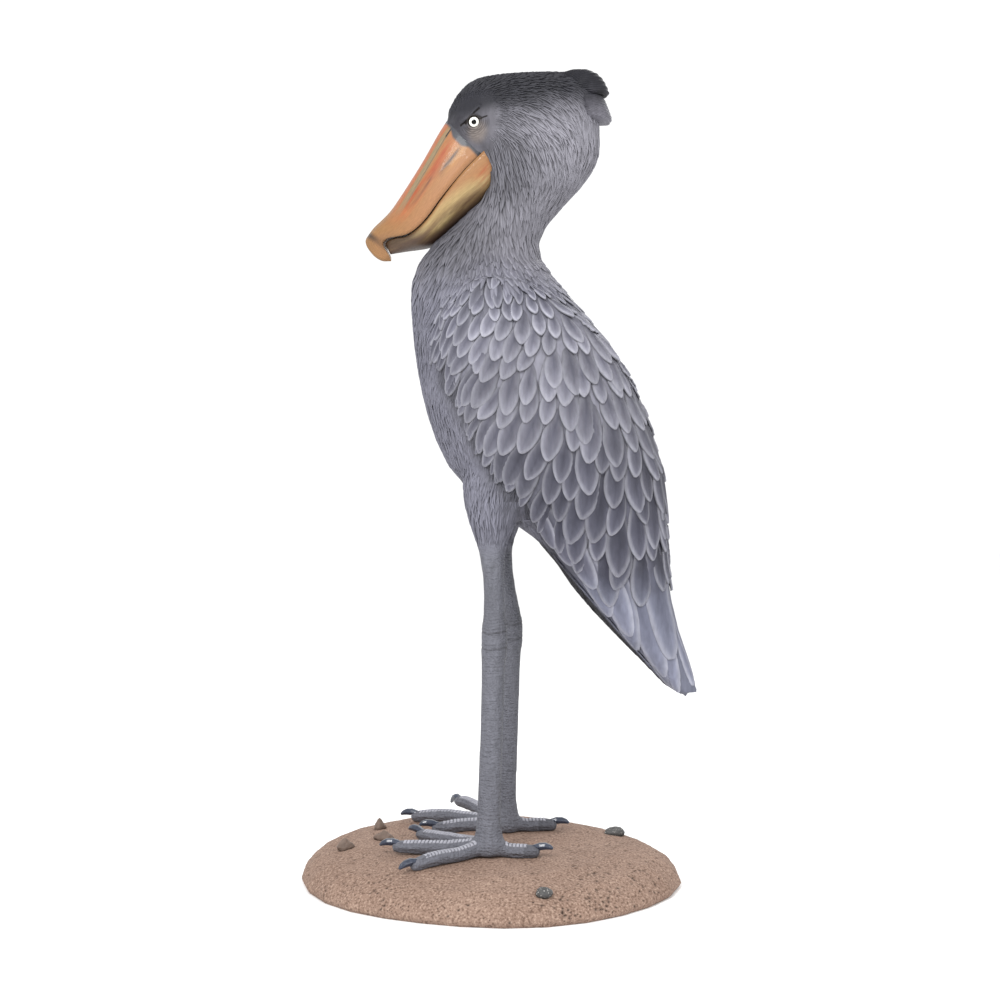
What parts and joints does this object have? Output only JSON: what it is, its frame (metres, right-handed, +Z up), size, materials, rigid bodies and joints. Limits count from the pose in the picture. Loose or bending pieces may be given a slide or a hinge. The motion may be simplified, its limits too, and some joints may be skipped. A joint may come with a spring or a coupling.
{
  "type": "shoebill statue",
  "caption": "Life-size painted statue of a standing shoebill with a large hooked bill, folded wings and long legs, on a low sand-textured base.",
  "frame": {"origin": "middle of the underside of the sand base, on the floor", "axes": "+Z up, the bird faces -X and its left side faces -Y"},
  "size_m": [0.5912, 0.5017, 1.1925],
  "materials": {
    "feather_paint": "matt slate grey paint on cast resin",
    "crown_paint": "matt dark grey paint on cast resin",
    "leg_paint": "satin grey paint on cast resin",
    "bill_paint": "satin horn-coloured paint with orange and yellow streaks",
    "eye_paint": "gloss",
    "claw_paint": "satin blue-black",
    "sand_paint": "rough sand texture",
    "stone_paint": "matt"
  },
  "bodies": {
    "root": {"bill_lower": "bill_paint", "bill_upper": "bill_paint", "claw_left_hind": "claw_paint", "claw_left_inner": "claw_paint", "claw_left_middle": "claw_paint", "claw_left_outer": "claw_paint", "claw_right_hind": "claw_paint", "claw_right_inner": "claw_paint", "claw_right_middle": "claw_paint", "claw_right_outer": "claw_paint", "crest": "crown_paint", "eye_left": "eye_paint", "eye_right": "eye_paint", "flight_feathers_left": "feather_paint", "flight_feathers_right": "feather_paint", "head": "crown_paint", "neck": "feather_paint", "sand_base": "sand_paint", "shin_left": "leg_paint", "shin_right": "leg_paint", "stone_1": "stone_paint", "stone_2": "stone_paint", "stone_3": "stone_paint", "stone_4": "stone_paint", "stone_5": "stone_paint", "tail": "feather_paint", "tarsus_left": "leg_paint", "tarsus_right": "leg_paint", "thigh_left": "feather_paint", "thigh_right": "feather_paint", "toe_left_hind": "leg_paint", "toe_left_inner": "leg_paint", "toe_left_middle": "leg_paint", "toe_left_outer": "leg_paint", "toe_right_hind": "leg_paint", "toe_right_inner": "leg_paint", "toe_right_middle": "leg_paint", "toe_right_outer": "leg_paint", "trunk": "feather_paint", "wing_left": "feather_paint", "wing_right": "feather_paint"}
  },
  "joints": []
}
